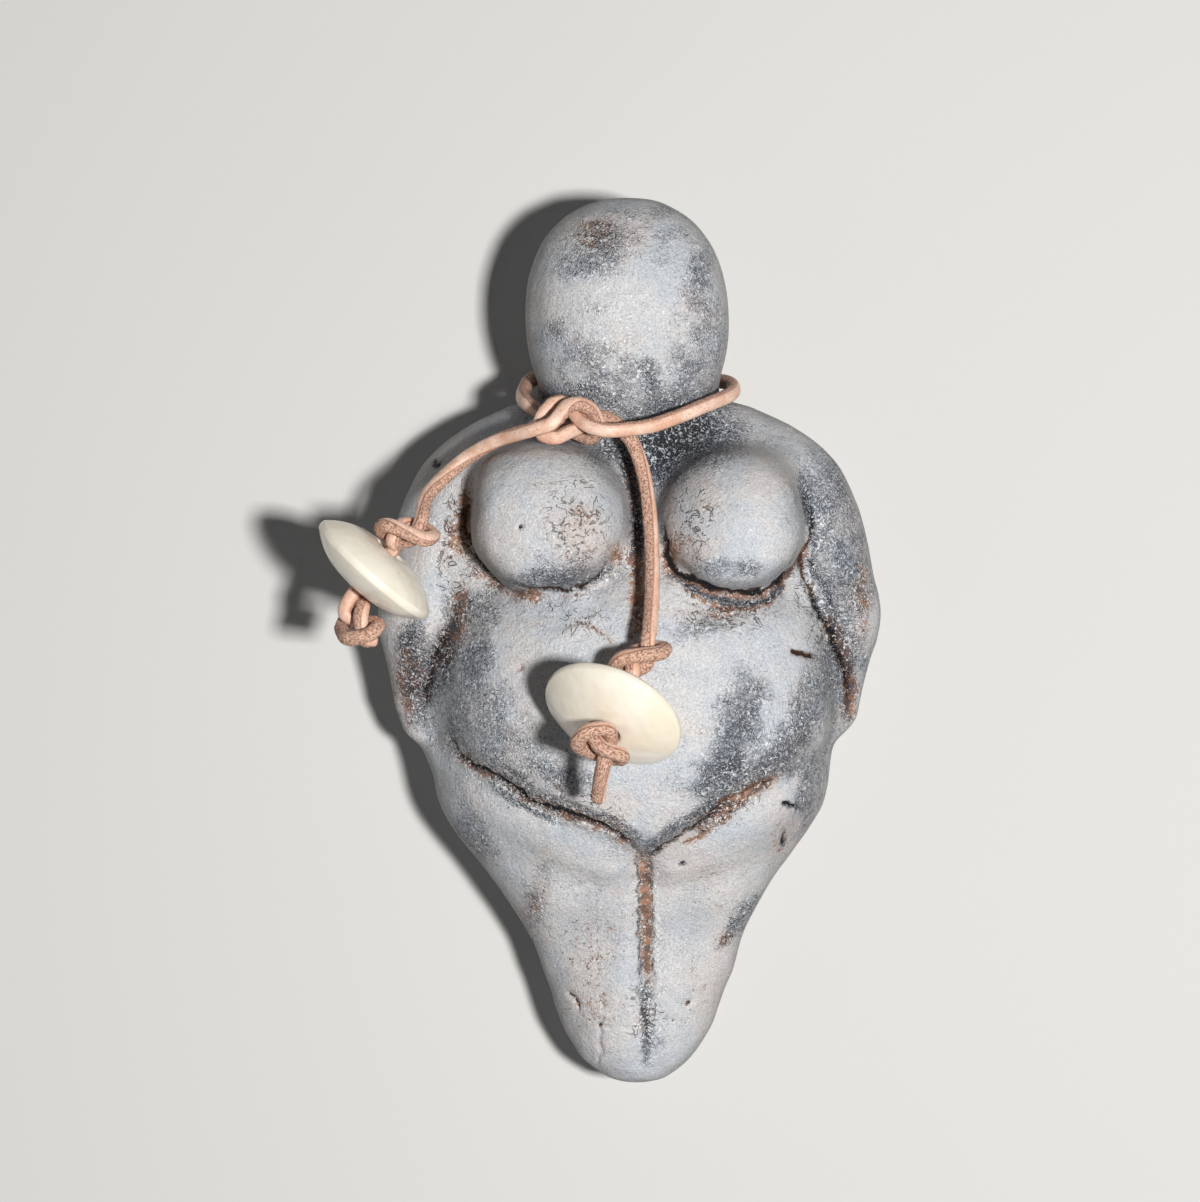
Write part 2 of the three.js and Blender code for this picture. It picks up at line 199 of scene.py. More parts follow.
KNOT_FROM_LEFT = [
    (-19.9, 14.4, 21.8), (-18.3, 16.3, 20.4), (-16.1, 18.2, 19.9), (-13, 19.9, 21.6),
    (-11, 20.5, 23.2), (-9.3, 20.9, 24.5), (-7.7, 21.4, 24.9), (-6.8, 22.3, 24.7),
    (-6.1, 23.1, 24.4), (-5.1, 23.4, 23.9), (-4.1, 23.1, 23.3), (-3.4, 22.3, 22.5),
    (-3.2, 21.1, 22.1), (-3.9, 20.2, 21.1), (-5.2, 20.7, 20.2), (-6.7, 21.5, 19.6),
    (-8.5, 22.7, 19.4),
]
ROUND_NECK = [
    (-9.9, 23.5, 18.2), (-10.6, 24.5, 15), (-10.4, 25.6, 11.8), (-9.8, 26.6, 8.6),
    (-8, 27, 5.2), (-4.4, 26.6, 3.1), (0, 26, 2.1), (4.4, 26.2, 3), (8, 26.6, 5.2),
    (9.8, 26.3, 8.8), (10.4, 25.5, 12.6), (9.8, 24.6, 16.2), (7.5, 23.5, 19.6),
    (4.8, 22.3, 21.7),
]
KNOT_FROM_RIGHT = [
    (2, 21.3, 22.9), (-0.5, 20.9, 23.7), (-2.2, 20.8, 24.1), (-3.7, 21.1, 23.9),
    (-4.8, 21.8, 23.1), (-5.6, 22.7, 22.6), (-6.3, 23.5, 22.4), (-7.4, 23.5, 22.6),
    (-8.4, 22.5, 22.7), (-8.8, 21.4, 22.9), (-8.5, 20.4, 23.5), (-7.3, 20.1, 24),
    (-6.2, 20.6, 23.2), (-5.2, 21.1, 21.9), (-4, 22, 20.7), (-2.6, 22.2, 21.1),
    (-1.2, 21.4, 21.5), (-0.1, 20.2, 21.8), (0.7, 18.6, 21.8), (1.4, 16.2, 22.2),
    (1.9, 12.5, 23.7), (2.1, 8.3, 25.5), (2.05, 4.8, 27.4), (1.85, 1.9, 29.4),
]
LACE_ROUTE = [
    Vector(point) for point in
    [*reversed(LEFT_TAIL), *KNOT_FROM_LEFT, *ROUND_NECK, *KNOT_FROM_RIGHT, *RIGHT_TAIL]
]


def route_curve(points, steps):
    """The smooth curve through the route's points, as the part's source draws it."""
    ends = [2 * points[0] - points[1], *points, 2 * points[-1] - points[-2]]
    curve = []
    for a, b, c, d in zip(ends, ends[1:], ends[2:], ends[3:]):
        ab, bc, cd = (math.sqrt((q - p).length) for p, q in ((a, b), (b, c), (c, d)))
        leave = ((b - a) / ab - (c - a) / (ab + bc) + (c - b) / bc) * bc
        arrive = ((c - b) / bc - (d - b) / (bc + cd) + (d - c) / cd) * bc
        for n in range(steps):
            t = n / steps
            curve.append(
                b + leave * t + (3 * (c - b) - 2 * leave - arrive) * t ** 2
                + (2 * (b - c) + leave + arrive) * t ** 3)
    return [*curve, points[-1]]


# The lace: a strip with a smooth grain side, the rest of it rough suede

CURVE_STEPS = 24  # between two of the route's points
RINGS_APART = 0.22
LACE_SIDES = 24
LACE_FULLNESS = 2.4  # 2 is a round section, more is squarer
GRAIN_REACH = (0.75, 1.5)  # radians from the middle of the grain side to where the suede is full
SUEDE_NAP = 0.075
NAP_NOISE = ((0.55, 1, 0.6), (0.24, 2, 0.8))  # (size, seed, strength)
NAP_RISE = 0.15  # share of the nap that stands proud all over
THICKNESS_NOISE = ((2.5, 3, 0.02),)  # (size, seed, mm)
CUT_END = 0.9  # share of its size that the lace has at its cut ends
# Route points where the lace's turn is known, and the way that its grain side faces there
GRAIN_FACES = {
    0: (0, 0, 1), 5: (0.5, 0.2, -1), 12: (0, 0, 1), 18: (0.4, 0.5, 0.4), 25: (-0.8, 0.3, 0.4),
    27: (-0.6, 0.4, 0.8), 29: (0, -0.4, 1), 31: (0, -0.1, 1), 34: (0.2, 1, 0.1), 36: (1, 0.4, 0.1),
    39: (0, 0, -1), 42: (-0.8, 0, 0.6), 44: (-1, 0, 0), 48: (0, 0, -1), 51: (1, 0.2, 0),
    54: (0.3, -0.4, 1), 58: (0, -0.3, 1), 61: (-0.3, -0.2, 1), 64: (0, 0.2, 1), 67: (0, -0.2, 1),
    69: (0.2, -0.3, 1), 71: (0.2, 0.5, -1), 73: (1, 0.5, -0.6), 75: (1, 0, 0.1), 79: (1, 0, 0.7),
    85: (0, 1, -0.2), 91: (1, 0.2, 0), 98: (0.3, 0.3, -1), 105: (1, 0, 0.2),
}


def lace_line():
    """Points at even steps along the lace, how far along they are, and each route point is."""
    curve = np.array(route_curve(LACE_ROUTE, CURVE_STEPS))
    along = np.append(0, np.cumsum(np.linalg.norm(np.diff(curve, axis=0), axis=1)))
    even = np.linspace(0, along[-1], round(along[-1] / RINGS_APART) + 1)
    line = np.stack([np.interp(even, along, curve[:, axis]) for axis in range(3)], axis=1)
    return line, even, along[::CURVE_STEPS]


def lace_frames(line, even, stations):
    """For each ring, the way that its grain side faces and the way across that."""
    ahead = np.gradient(line, axis=0)
    ahead /= np.linalg.norm(ahead, axis=1)[:, None]
    side = np.cross(ahead, (0, 0, 1))
    for i, way in enumerate(ahead):
        before = side[max(i - 1, 0)]
        side[i] = before - way * (before @ way)
        side[i] /= np.linalg.norm(side[i])
    above = np.cross(ahead, side)
    turns = []
    for point, way in GRAIN_FACES.items():
        ring = min(np.searchsorted(even, stations[point]), len(even) - 1)
        turns.append(math.atan2(above[ring] @ way, side[ring] @ way))
    turn = np.interp(even, [stations[point] for point in GRAIN_FACES], np.unwrap(turns))[:, None]
    return side * np.cos(turn) + above * np.sin(turn), above * np.cos(turn) - side * np.sin(turn)


def fine_noise(places, size, seed=0.0):
    """Smooth noise from -1 to 1 at each place, with grains of about the given size."""
    shift = Vector((seed, 7.3 * seed, 3.1 * seed))
    return np.array([noise.noise(Vector(place) / size + shift) for place in places.tolist()])


def laid_noise(places, layers):
    """The sum of some noises, each given as (size, seed, strength)."""
    return sum(strength * fine_noise(places, size, seed) for size, seed, strength in layers)


def make_lace():
    line, even, stations = lace_line()
    out, across = lace_frames(line, even, stations)
    angle = np.linspace(-math.pi, math.pi, LACE_SIDES, endpoint=False)
    cos, sin = np.cos(angle), np.sin(angle)
    squarer = (abs(cos) ** LACE_FULLNESS + abs(sin) ** LACE_FULLNESS) ** (-1 / LACE_FULLNESS)
    reach = np.tile(LACE_DIAMETER / 2 * squarer, (len(line), 1))
    straight = np.stack([
        np.repeat(even, LACE_SIDES), (reach * cos).ravel(), (reach * sin).ravel()], axis=1)
    suede = np.tile(smooth(*GRAIN_REACH, abs(angle)), len(line))
    nap = suede * SUEDE_NAP * (laid_noise(straight, NAP_NOISE) + NAP_RISE)
    reach += (nap + laid_noise(straight, THICKNESS_NOISE)).reshape(reach.shape)
    reach[[0, -1]] *= CUT_END
    points = line[:, None] + reach[..., None] * (
        out[:, None] * cos[None, :, None] + across[:, None] * sin[None, :, None])

    count = len(line)
    ring = np.arange(LACE_SIDES)
    after = (ring + 1) % LACE_SIDES
    rows = np.arange(count - 1)[:, None] * LACE_SIDES
    faces = np.stack([
        rows + ring, rows + after, rows + LACE_SIDES + after, rows + LACE_SIDES + ring],
        axis=-1).reshape(-1, 4).tolist()
    last = (count - 1) * LACE_SIDES
    ends = count * LACE_SIDES
    faces += [(ends, b, a) for a, b in zip(ring.tolist(), after.tolist())]
    faces += [(ends + 1, last + a, last + b) for a, b in zip(ring.tolist(), after.tolist())]
    points = np.concatenate([points.reshape(-1, 3), line[[0, -1]]])

    mesh = bpy.data.meshes.new("lace")
    mesh.from_pydata(points * MM, [], faces)
    mesh.validate()
    lace = bpy.data.objects.new("lace", mesh)
    bpy.context.scene.collection.objects.link(lace)
    edit_all(lace, lambda: bpy.ops.mesh.normals_make_consistent(inside=False))
    active(lace)
    bpy.ops.object.shade_smooth()
    keep_mask(lace, "suede", np.append(suede, (1, 1)))
    flat = np.concatenate([straight, [[0, 0, 0], [even[-1], 0, 0]]])
    layer = mesh.attributes.new("laid_straight", "FLOAT_VECTOR", "POINT")
    layer.data.foreach_set("vector", flat.astype(np.float32).ravel())
    return lace, line * MM, even[-1] * MM


# The beads

BEAD_STEPS = 96  # round a bead
DOME_POINTS = 18
LIP_POINTS = 6
RIM_POINTS = 5
LIP = 0.35  # radius of the rounded edge of a bead's hole
RIM_ROUNDING = 0.6  # share of the rim's half thickness that its rounding reaches inwards


def dome_height(radius):
    fall = (radius / (BEAD_DIAMETER / 2)) ** DOME_FULLNESS
    return BEAD_RIM / 2 + (BEAD_THICKNESS - BEAD_RIM) / 2 * (1 - fall)


def bead_profile():
    """Half of a bead's section, from the middle of its hole over the lip to its rim."""
    top = dome_height(BORE_RADIUS + LIP)
    dome_reach = BEAD_DIAMETER / 2 - BEAD_RIM / 2 * RIM_ROUNDING - BORE_RADIUS - LIP
    points = [(BORE_RADIUS, height) for height in np.linspace(0, top - LIP, LIP_POINTS)]
    for turn in np.linspace(0, math.pi / 2, LIP_POINTS)[1:]:
        points.append((BORE_RADIUS + LIP * (1 - math.cos(turn)), top - LIP * (1 - math.sin(turn))))
    for share in np.sin(np.linspace(0, math.pi / 2, DOME_POINTS))[1:]:
        radius = BORE_RADIUS + LIP + share * dome_reach
        points.append((radius, dome_height(radius)))
    edge, height = points[-1]
    for turn in np.linspace(0, math.pi / 2, RIM_POINTS)[1:]:
        points.append((
            edge + (BEAD_DIAMETER / 2 - edge) * math.sin(turn), height * math.cos(turn)))
    return points


def make_bead(name, bead):
    centre, axis = bead
    upper = bead_profile()
    lower = [(radius, -height) for radius, height in reversed(upper[1:-1])]
    section = [(radius * MM, 0, height * MM) for radius, height in upper + lower]
    mesh = bpy.data.meshes.new(name)
    mesh.from_pydata(section, [(i, (i + 1) % len(section)) for i in range(len(section))], [])
    obj = bpy.data.objects.new(name, mesh)
    bpy.context.scene.collection.objects.link(obj)
    edit_all(
        obj,
        lambda: bpy.ops.mesh.spin(
            steps=BEAD_STEPS, angle=2 * math.pi, center=(0, 0, 0), axis=(0, 0, 1)),
        lambda: bpy.ops.mesh.select_all(action="SELECT"),
        lambda: bpy.ops.mesh.remove_doubles(threshold=0.001 * MM),
        lambda: bpy.ops.mesh.normals_make_consistent(inside=False))
    turn = Vector((0, 0, 1)).rotation_difference(axis).to_matrix().to_4x4()
    obj.data.transform(Matrix.Translation(centre * MM) @ turn)
    active(obj)
    bpy.ops.object.shade_smooth()
    return obj


# The figurine's relief and patina, drawn in millimetres as the camera sees the front

STROKE_STEPS = 6  # between two of a stroke's points
STROKE_ENDS = 0.12  # share of a stroke that fades at each end,
END_STRENGTH = 0.35  # down to this share of its strength
PATCH_EDGE = 1.15  # 1 is the softest


def drawn(points):
    """A smooth line through a few points (u, v)."""
    flat = [Vector((u, v, 0)) for u, v in points]
    return np.array([point.xy for point in route_curve(flat, STROKE_STEPS)])


def away_from(line, places):
    """How far each place is from a line, and the share of the line before its nearest point."""
    nearest = np.full(len(places), np.inf)
    share = np.zeros(len(places))
    for i, (a, b) in enumerate(zip(line, line[1:])):
        step = b - a
        t = np.clip((places - a) @ step / (step @ step), 0, 1)
        away = np.linalg.norm(places - a - t[:, None] * step, axis=1)
        closer = away < nearest
        nearest[closer] = away[closer]
        share[closer] = (i + t[closer]) / (len(line) - 1)
    return nearest, share


def stroke(points, width):
    """A soft line of the given half width, a mask from its places."""
    line = drawn(points)

    def mask(places):
        away, share = away_from(line, places)
        ends = smooth(0, STROKE_ENDS, share) * smooth(0, STROKE_ENDS, 1 - share)
        return np.exp(-(away / width) ** 2) * (END_STRENGTH + (1 - END_STRENGTH) * ends)
    return mask


def patch(centre, reach, turn=0):
    """A soft oval, a mask from its places. reach is its half axes, turn in degrees."""
    cos, sin = math.cos(math.radians(turn)), math.sin(math.radians(turn))

    def mask(places):
        u, v = (places - centre).T
        along, across = u * cos + v * sin, v * cos - u * sin
        return np.exp(-((along / reach[0]) ** 2 + (across / reach[1]) ** 2) ** PATCH_EDGE)
    return mask


# The main creases
LEFT_BREAST_CREASE = [
    (-15.9, 15.2), (-16.5, 12.2), (-15.55, 8.95), (-13.05, 6.55), (-9.85, 5.35), (-6.55, 5.3),
    (-4.3, 5.8), (-2, 7.6),
]
RIGHT_BREAST_CREASE = [
    (3.15, 11.65), (4.25, 7.6), (7.45, 5.75), (10.65, 4.9), (13.75, 5.45), (15.6, 6.9),
    (16.95, 8.8),
]
# The line between the breasts where the lace casts its shadow, painted there as shadow over the
# brown of the cleavage
LACE_SHADOW_BETWEEN_BREASTS = [(-0.5, 19.3), (0.25, 16.3), (0.65, 12.3), (0.75, 8.8), (0.7, 4.3), (0.5, 0.3)]
LEFT_ARM_CREASE = [
    (-17.3, 14.2), (-17.75, 9.5), (-16.75, 5.4), (-18.25, 1.25), (-19.45, -1.25),
    (-20.1, -4.1), (-20.5, -6.4),
]
RIGHT_ARM_CREASE = [
    (17.65, 15), (18.2, 11.6), (17.2, 8.6), (17.2, 7), (18.25, 5.2), (19.05, 2.85),
    (20.15, 0.75), (21.25, -2), (21.8, -4.8), (21.5, -7.8),
]
LEFT_GROIN = [
    (-18.35, -8.85), (-16.05, -11.75), (-13.75, -13.05), (-11.75, -14.25), (-9.55, -15.7),
    (-6.85, -16.75), (-4.35, -17.45), (-1.25, -18.75), (1.45, -21.1),
]
RIGHT_GROIN = [
    (15.6, -13), (13.6, -13.9), (11.45, -14.75), (9.35, -15.95), (7.35, -17.85), (5.45, -18.9),
    (3.35, -20.4), (1.6, -21.2),
]
LEG_LINE = [
    (1.3, -21.3), (1.5, -23), (1.5, -25.2), (1.6, -28.2), (1.6, -31.1), (1.8, -34.2),
    (1.5, -36.2), (1.8, -38.7), (1.7, -41.9),
]

# The solid's front moved sideways a little: (mask, place that it moves towards, mm)
NUDGES = [
    (stroke([
        (-17.2, 17), (-16.9, 14), (-16.9, 10.5), (-16, 7.6), (-14.2, 5.7), (-12, 4.4), (-10, 4),
        (-8, 4.1), (-5.6, 4.8), (-3.4, 6.2)], 1.7), (-9.5, 12.5), 0.8),
    (stroke([(3.6, 7.4), (5.2, 5.8), (8, 4.3), (10.5, 4), (13, 4.3), (15.8, 5.8), (17, 7.6)], 1.7),
     (10.5, 13), 0.8),
    (patch((-20.1, -10.6), (2, 2)), (-30, -12), 0.5),
    (patch((-22.8, -8.2), (1.4, 1.4)), (-18, -2), 0.5),
]
# and raised: (mask, mm)
SWELLS = [
    (stroke([(-10, -24.2), (-5, -25.6), (1.6, -26.2), (8, -25.6), (12.5, -24)], 3), 1),
    (stroke([(-8, -19.8), (-4, -21.3), (-0.5, -22)], 1), -0.25),
    (stroke([(3.8, -22), (7, -21.2), (10.5, -19.8)], 1), -0.25),
]
FRONT_ABOVE = (3, 9)  # mm above the floor, between which the front begins

# Cuts and ridges: (mask, depth in mm); less than zero stands out
RELIEF = [
    (stroke(LEFT_BREAST_CREASE, 0.3), 0.32),
    (stroke(RIGHT_BREAST_CREASE, 0.32), 0.45),
    (stroke(LEFT_ARM_CREASE[3:], 0.4), 0.3),
    (stroke(RIGHT_ARM_CREASE, 0.32), 0.3),
    (stroke(LEFT_GROIN, 0.22), 0.36),
    (stroke([(u + 0.55, v + 0.75) for u, v in LEFT_GROIN[2:8]], 0.25), 0.22),
    (stroke([(u - 0.2, v - 0.65) for u, v in LEFT_GROIN[:8]], 0.35), -0.16),
    (stroke(RIGHT_GROIN, 0.22), 0.26),
    (stroke([(12.15, -16.15), (9.4, -17.2), (6.4, -19.3)], 0.28), 0.26),
    (stroke([(12.6, -15.4), (9.6, -16.7), (6.9, -18.6)], 0.25), -0.14),
    (stroke(LEG_LINE[:6], 0.6), 0.12),
    (stroke(LEG_LINE[5:], 0.35), 0.2),
    (stroke([(u - 0.95, v) for u, v in LEG_LINE[:7]], 0.22), -0.12),
    (stroke([(u + 0.95, v) for u, v in LEG_LINE[:7]], 0.22), -0.12),
    # skin folds under the right breast
    (stroke([(5.35, 4.5), (8.5, 3.6), (12.05, 3.7), (14.25, 4.6)], 0.22), 0.26),
    (stroke([(5.9, 3.5), (8.9, 2.75), (12.4, 2.95)], 0.2), 0.2),
    (stroke([(6.7, 2.4), (9.3, 1.9), (11.6, 2.1)], 0.18), 0.12),
    (stroke([(4.9, 5.6), (7.6, 4.6), (10.8, 4.2), (13.9, 4.9)], 0.2), -0.16),
    # folds of the belly and on the left breast
    (stroke([(-6.75, 1.55), (-4.95, 1.95), (-2.95, 1.15), (-1.55, 0.15)], 0.2), 0.16),
    (stroke([(-5.6, 0.4), (-3.9, 0.9), (-2.4, 0.5)], 0.16), 0.1),
    (stroke([(-7, 12.6), (-6.2, 11.4), (-6.6, 10.4)], 0.18), 0.16),
    (stroke([(-5.9, 13.2), (-4.9, 12.7), (-4.6, 11.7)], 0.18), 0.14),
    (stroke([(-7.4, 13.9), (-6.2, 14.2), (-5, 13.9)], 0.16), 0.12),
    (stroke([(-6.3, 9.9), (-5.5, 9.6), (-5, 10.1)], 0.18), 0.14),
    # cracks and slits
    (stroke([(12.3, -25.9), (10.9, -27.7), (9.5, -29.8)], 0.6), 0.16),
    (stroke([(16.2, -0.7), (17.2, -1.05), (18.6, -1.45)], 0.25), 0.5),
    (stroke([(15.4, -15.9), (16.1, -16.2), (16.8, -16.5)], 0.2), 0.4),
    (stroke([(15.4, -18.8), (15.45, -19.4), (15.4, -20.1)], 0.2), 0.35),
    (stroke([(-6.2, -34.9), (-5.6, -35.7), (-5, -36.9)], 0.25), 0.3),
    (stroke([(-3.1, -37.7), (-3, -40), (-3.2, -42.2)], 0.2), 0.2),
    (stroke([(-3.4, -38.1), (-1.6, -38.5), (0.1, -38.4)], 0.2), 0.2),
    (stroke([(1, 28), (1.5, 26.4), (2, 24.9)], 0.2), 0.18),
    # pits
    (patch((-10.85, 11.55), (0.42, 0.42)), 0.3),
    (patch((-10.95, -2.45), (0.5, 0.45)), 0.28),
    (patch((-19.2, 18.15), (0.35, 0.35)), 0.3),
    (patch((5.85, -35.95), (0.45, 0.4)), 0.28),
    (patch((4.45, -37.85), (0.35, 0.35)), 0.25),
    (patch((5.4, -37.9), (0.35, 0.35)), 0.22),
    (patch((-2.65, -36.25), (0.4, 0.35)), 0.25),
    (patch((5.35, -22.05), (0.35, 0.35)), 0.22),
    (patch((16.05, -15.15), (0.6, 0.5)), -0.18),
]

# Rust-brown grime: (mask, strength)
BROWN = [
    (patch((-1.3, 8.9), (1, 1.3)), 0.8),
    # brown at the left breast's crease: partly real grime, partly painted shadow of the breast on
    # the band beside it
    (patch((-16.5, 12.2), (0.85, 3.6)), 1),
    (patch((-17.7, 11), (1, 2.8)), 0.6),
    (stroke([(-15.9, 8.2), (-14.2, 6.4), (-12.3, 5.5)], 0.5), 0.8),
    (patch((-10.2, 4.7), (1.9, 0.8), -8), 0.9),
    (stroke([(-7.5, 4.7), (-5, 4.9), (-3, 6)], 0.3), 0.45),
    (stroke([(-16.5, 5.6), (-17, 2.9), (-17.9, 0.2), (-18.9, -2.4)], 1), 1),
    (stroke(LEFT_ARM_CREASE[3:], 0.5), 0.7),
    (patch((-22, -3.6), (1.4, 4.4)), 0.9),
    (patch((-5.6, 11.4), (2.6, 3.8)), 0.42),
    (patch((-8.8, 15.9), (1.5, 0.9)), 0.35),
    (stroke([(u, v - 0.4) for u, v in RIGHT_BREAST_CREASE], 0.35), 0.85),
    (stroke([(u, v - 1.45) for u, v in RIGHT_BREAST_CREASE[1:6]], 0.3), 0.75),
    (patch((4, 8.8), (0.9, 2.6), -12), 0.8),
    (patch((9.5, 3), (4.6, 1)), 0.5),
    (patch((7.5, 14.2), (3, 3)), 0.3),
    (patch((6.3, 9.4), (2, 2)), 0.42),
    (stroke([(u + 0.3, v) for u, v in RIGHT_ARM_CREASE[5:]], 0.9), 1),
    (patch((17.4, 8.9), (0.6, 1)), 0.8),
    (patch((23.3, 5), (1, 5.6)), 0.62),
    (stroke(LEFT_GROIN, 0.7), 0.8),
    (stroke(RIGHT_GROIN, 0.35), 0.6),
    (stroke([(6.4, -18.2), (9, -16.7), (11.4, -15.2), (14.4, -13.4)], 0.8), 0.85),
    (stroke([(5.4, -19.9), (8, -18.6), (10.6, -17)], 0.3), 0.8),
    (stroke(LEG_LINE[:6], 0.68), 1),
    (patch((1.6, -37), (0.9, 2.4)), 0.4),
    (patch((-9.6, -26.2), (1.6, 3.2), -20), 0.45),
    (patch((-4, -31), (3.4, 7), -15), 0.34),
    (patch((8, -25), (4, 5), -20), 0.24),
    (patch((6.5, -34), (2.4, 4)), 0.2),
    (patch((9.7, -29.6), (1, 0.6), 30), 0.7),
    (patch((-3.3, 41), (3, 2)), 0.62),
    (patch((17.6, -1.2), (1.2, 0.4), -15), 0.6),
    (patch((-10.95, -2.45), (0.7, 0.6)), 0.5),
    (stroke([(-6.75, 1.55), (-4.95, 1.95), (-2.95, 1.15), (-1.55, 0.15)], 0.3), 0.5),
    (patch((-3.2, -37), (3, 2.4)), 0.3),
    (patch((15.2, -20), (1.4, 3), -20), 0.35),
    (patch((15.1, -11.6), (3.4, 1.2), 38), 0.35),
    # the lace's cast shadow between the breasts, painted brown-black over the real brown of the
    # cleavage
    (stroke(LACE_SHADOW_BETWEEN_BREASTS, 0.8), 0.95),
]

# Dark blue-black paint
DARK = [
    # head
    (patch((-2.4, 40.8), (3.8, 2)), 0.33),
    (patch((-4.2, 38.2), (4.2, 1.5), 6), 0.38),
    (patch((1, 43), (3.6, 0.8)), 0.22),
    (patch((4, 40.5), (3, 3.6)), 0.16),
    (patch((7, 37.2), (1.5, 2.8)), 0.32),
    (patch((7.4, 30.6), (2.6, 6)), 0.28),
    (patch((-7.6, 31), (2.2, 1.3)), 0.36),
    (patch((-3.4, 33.6), (1.4, 1)), 0.2),
    (patch((-4.5, 28.8), (3, 1.8)), 0.2),
    (patch((0.5, 23.8), (9.8, 5.2)), 0.33),
    (patch((-6, 24.6), (3.4, 1.5)), 0.4),
    (stroke([(1.8, 29), (2.2, 26.5), (2.4, 24.5)], 0.5), 0.3),
    # neck
    (patch((5.6, 20.6), (4.8, 3)), 1),
    (patch((3.4, 18.2), (1.8, 2.4)), 0.95),
    # the lace's cast shadow in the cleavage, painted dark over the dark paint that lies there
    (stroke(LACE_SHADOW_BETWEEN_BREASTS[:4], 0.6), 0.8),
    # left breast and arm
    (stroke(LEFT_BREAST_CREASE[3:], 0.2), 0.6),
    (patch((-7.4, 6.5), (4.8, 1.1), 4), 0.5),
    (patch((-2.5, 19.2), (2.4, 1.3)), 0.35),
    (patch((-7, 7.8), (6, 1.6)), 0.25),
    (stroke(LEFT_ARM_CREASE[3:], 0.5), 0.75),
    (patch((-15, 3.2), (2.4, 2.8), -30), 0.34),
    (patch((-15.2, -1.6), (1.4, 2.6), -10), 0.45),
    (stroke([(-16.9, 4.6), (-17.5, 2), (-18.4, -0.6)], 0.35), 0.6),
    (patch((-18.5, -1.4), (1.1, 3), -14), 0.85),
    (patch((-15.6, -7), (3.6, 7.5), 15), 0.38),
    (patch((-10, -11.6), (4, 3.4), -35), 0.2),
    (patch((-22, 0.6), (0.8, 1.4)), 0.7),
    (patch((-19.2, 18.15), (0.35, 0.35)), 0.8),
    (patch((-21.6, -3), (1.8, 5.5)), 0.5),
    # right breast and arm
    (stroke(RIGHT_BREAST_CREASE, 0.22), 0.95),
    (stroke([(u, v - 0.95) for u, v in RIGHT_BREAST_CREASE[1:6]], 0.28), 0.85),
    (patch((10.6, 7.3), (5, 1.4)), 0.34),
    (patch((7.5, 1.7), (4.4, 1.2), 10), 0.26),
    (stroke(RIGHT_ARM_CREASE[4:8], 0.3), 0.85),
    (stroke(RIGHT_ARM_CREASE[6:], 0.3), 0.3),
    (stroke([(u + 1.1, v + 0.4) for u, v in RIGHT_ARM_CREASE[2:6]], 0.25), 0.75),
    (patch((17.9, 13), (0.4, 2.8), 10), 0.9),
    (patch((19.4, 16.4), (3.4, 5.4), -30), 0.3),
    (patch((21.4, 4), (3.2, 12), 4), 0.45),
    (patch((21.9, -3), (0.5, 1.2)), 0.7),
    # belly
    (patch((10.5, -8.9), (2.4, 6.8), -15), 0.5),
    (patch((17.6, -6.6), (2.2, 5.4), -24), 0.42),
    (patch((15.1, -11.3), (3.6, 1.4), 38), 0.5),
    (patch((9, -13.6), (4, 2), 20), 0.4),
    (patch((-6.2, -13.6), (3.6, 1.6), -20), 0.34),
    # groin, legs
    (stroke(LEFT_GROIN, 0.2), 0.8),
    (stroke([(u + 0.4, v + 0.5) for u, v in LEFT_GROIN[2:]], 0.6), 0.42),
    (stroke([(u - 0.3, v - 0.9) for u, v in LEFT_GROIN[2:6]], 0.35), 0.5),
    (stroke(RIGHT_GROIN[3:], 0.2), 0.7),
    (stroke([(u - 0.4, v + 0.8) for u, v in RIGHT_GROIN[3:]], 0.6), 0.6),
    (stroke([(u - 0.72, v) for u, v in LEG_LINE[:6]], 0.12), 0.5),
    (stroke([(u + 0.7, v) for u, v in LEG_LINE[:6]], 0.12), 0.36),
    (stroke(LEG_LINE[5:], 0.6), 0.38),
    (patch((18, -15), (1.6, 4), -10), 0.42),
    (patch((-15.6, -19), (1.6, 3.6), 30), 0.5),
    (patch((-9.6, -26.4), (1.6, 4), -10), 0.3),
    (patch((11.2, -27.5), (2.9, 0.8), 54), 0.46),
    (stroke([(16.2, -0.7), (17.2, -1.05), (18.6, -1.45)], 0.18), 0.6),
    (stroke([(15.4, -15.9), (16.1, -16.2), (16.8, -16.5)], 0.25), 1),
    (stroke([(15.4, -18.8), (15.45, -19.4), (15.4, -20.1)], 0.22), 1),
    (patch((5.35, -22.05), (0.35, 0.3)), 0.9),
    (patch((-10.85, 11.55), (0.3, 0.3)), 0.6),
]

# Rubbed paint, nearly white
PALE = [
    (patch((2.4, 19.4), (1.2, 1.4)), 0.7),
    (patch((-19.6, 10.4), (1.8, 2.8)), 0.6),
    (stroke([(-15.6, 2.6), (-16.2, 0), (-16.9, -2.6)], 0.6), 0.6),
    (stroke([(u - 0.4, v - 1) for u, v in LEFT_GROIN], 0.5), 0.8),
    (stroke([(u + 0.2, v - 1.1) for u, v in RIGHT_GROIN[1:6]], 0.4), 0.75),
    (stroke([(u + 0.8, v) for u, v in RIGHT_ARM_CREASE[:6]], 0.45), 0.7),
    (stroke([(u + 1.3, v) for u, v in LEG_LINE], 0.4), 0.5),
    (stroke(LEG_LINE[5:], 0.8), 0.5),
    (stroke([(11.15, -10.65), (13.4, -10), (15.6, -9.1), (16.9, -7.4), (18.7, -6.7)], 0.25), 0.9),
    (patch((-1.5, 33), (4, 3.4)), 0.3),
    (patch((1.5, 26.4), (0.4, 1.6), 15), 0.7),
    (patch((-11, 12), (4, 4)), 0.25),
    (patch((11.2, -27), (2.8, 0.5), 54), 0.8),
]

